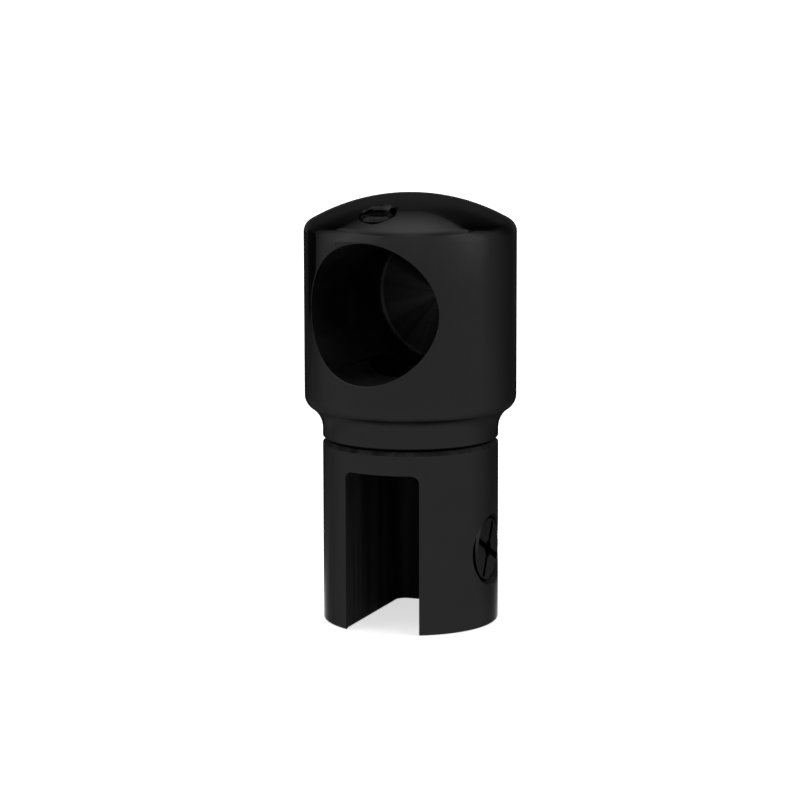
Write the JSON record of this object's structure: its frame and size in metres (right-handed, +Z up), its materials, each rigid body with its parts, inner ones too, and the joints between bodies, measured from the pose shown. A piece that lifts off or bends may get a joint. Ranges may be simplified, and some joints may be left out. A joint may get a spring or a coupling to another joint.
{
  "type": "glass clamp",
  "caption": "Black swivel clamp that hangs a glass panel's edge on a round bar: domed head with a blind side bore, on a slotted round jaw with a flush clamping screw.",
  "frame": {"origin": "centre of the jaw's round base, which the clamp stands on", "axes": "+Z up the swivel axis from the jaw to the crown, -Y out of the glass pocket's open front, +X towards the clamp screw"},
  "size_m": [0.03, 0.03, 0.0608],
  "materials": {
    "black_coat": "satin",
    "black_screw": "satin",
    "spring_steel": "satin",
    "slip_ring": "matte",
    "pad_rubber": "matte"
  },
  "bodies": {
    "jaw": {"jaw_body": "black_coat", "pivot_screw": "black_screw", "spring_washer": "spring_steel", "swivel_washer": "slip_ring"},
    "head": {"bar_head": "black_coat"},
    "set_screw": {"bar_set_screw": "black_screw"},
    "pad": {"pressure_pad": "pad_rubber"},
    "clamp_screw": {"clamp_screw": "black_screw"}
  },
  "joints": [
    {"name": "head_swivel", "type": "hinge", "parent": "jaw", "child": "head", "pos_m": [0, 0, 0.0263], "axis": [0, 0, 1], "continuous": true},
    {"name": "set_screw_travel", "type": "slide", "parent": "head", "child": "set_screw", "axis": [0, 0, -1], "range_m": [-0.002, 0.001]},
    {"name": "pad_travel", "type": "slide", "parent": "jaw", "child": "pad", "axis": [-1, 0, 0], "range_m": [-0.0015, 0.003]},
    {"name": "clamp_screw_turn", "type": "hinge", "parent": "pad", "child": "clamp_screw", "pos_m": [0.01, 0, 0.0107], "axis": [-1, 0, 0], "range_deg": [-360.1, 720.1]}
  ],
  "couplings": [
    {"joint": "clamp_screw_turn", "follows": "pad_travel", "rad_per_m": 4188.8}
  ]
}
